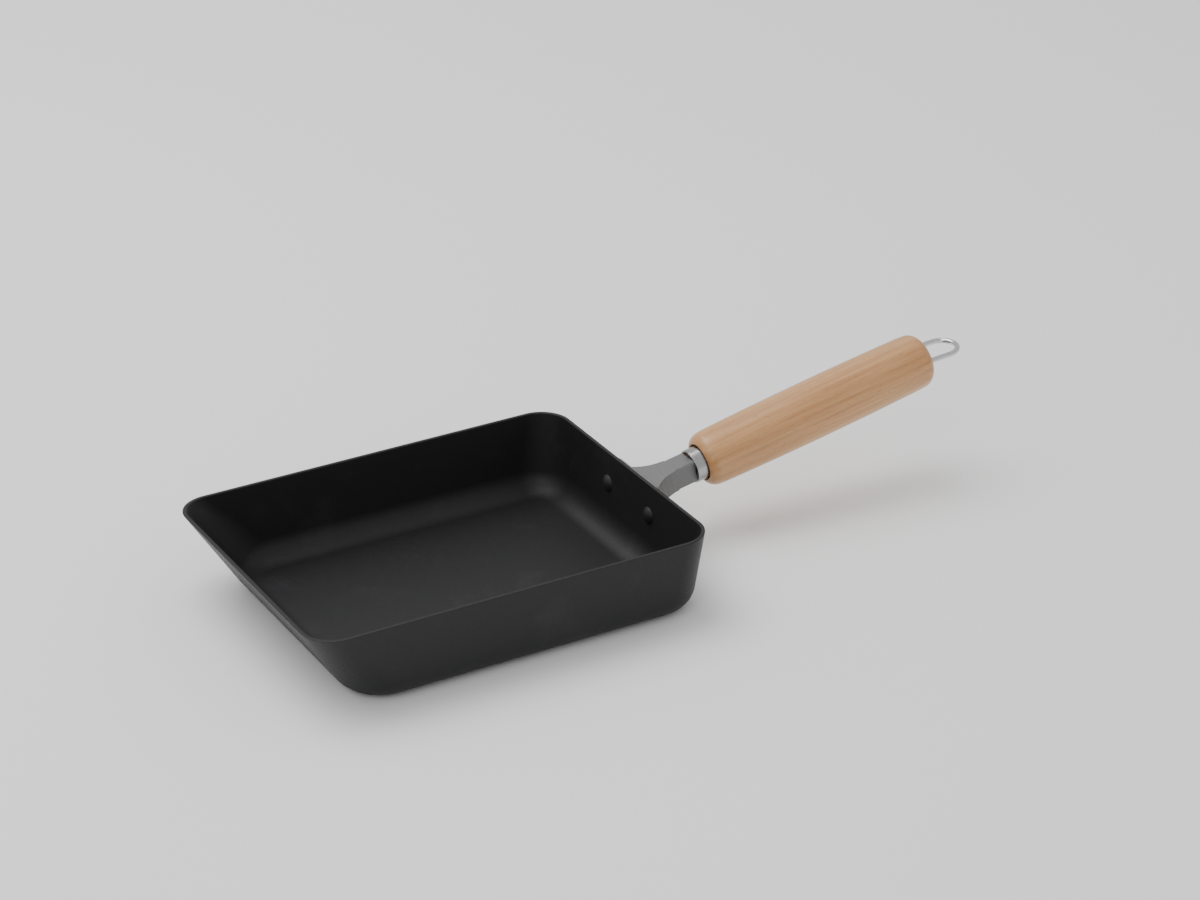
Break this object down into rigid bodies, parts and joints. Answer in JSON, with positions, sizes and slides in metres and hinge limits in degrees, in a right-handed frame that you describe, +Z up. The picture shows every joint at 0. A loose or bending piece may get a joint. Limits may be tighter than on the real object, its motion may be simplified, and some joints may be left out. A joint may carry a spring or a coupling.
{
  "type": "rolled-omelette pan",
  "caption": "Rectangular tamagoyaki pan with a sloping front, riveted cast neck, turned wooden grip and wire hanging loop.",
  "frame": {"origin": "on the plane the base stands on, under the middle of the rim's outline", "axes": "+X from the sloping front towards the grip, +Y across the pan, +Z up"},
  "size_m": [0.3441, 0.138, 0.064],
  "materials": {
    "pan_coating": "dark satin non-stick coating on steel sheet",
    "cast_neck": "rough as-cast metal, worn bright along its edges",
    "rivet": "dark satin, coated with the pan",
    "bright_steel": "bright turned steel",
    "beech": "beech with a satin varnish",
    "plain_steel": "plain zinc-plated steel",
    "chromed_wire": "chromed steel wire"
  },
  "bodies": {
    "pan": {"pan_body": "pan_coating", "handle_bracket": "cast_neck", "rivet_left": "rivet", "rivet_right": "rivet", "neck_ferrule": "bright_steel", "wooden_grip": "beech", "tie_bolt": "plain_steel", "loop_carrier": "plain_steel", "seat_washer": "plain_steel", "spring_washer": "plain_steel"},
    "loop": {"hanging_loop": "chromed_wire"}
  },
  "joints": [
    {"name": "loop_swing", "type": "hinge", "parent": "pan", "child": "loop", "pos_m": [0.22997, 0, 0.05395], "axis": [0, 1, 0], "range_deg": [-10, 30]}
  ]
}
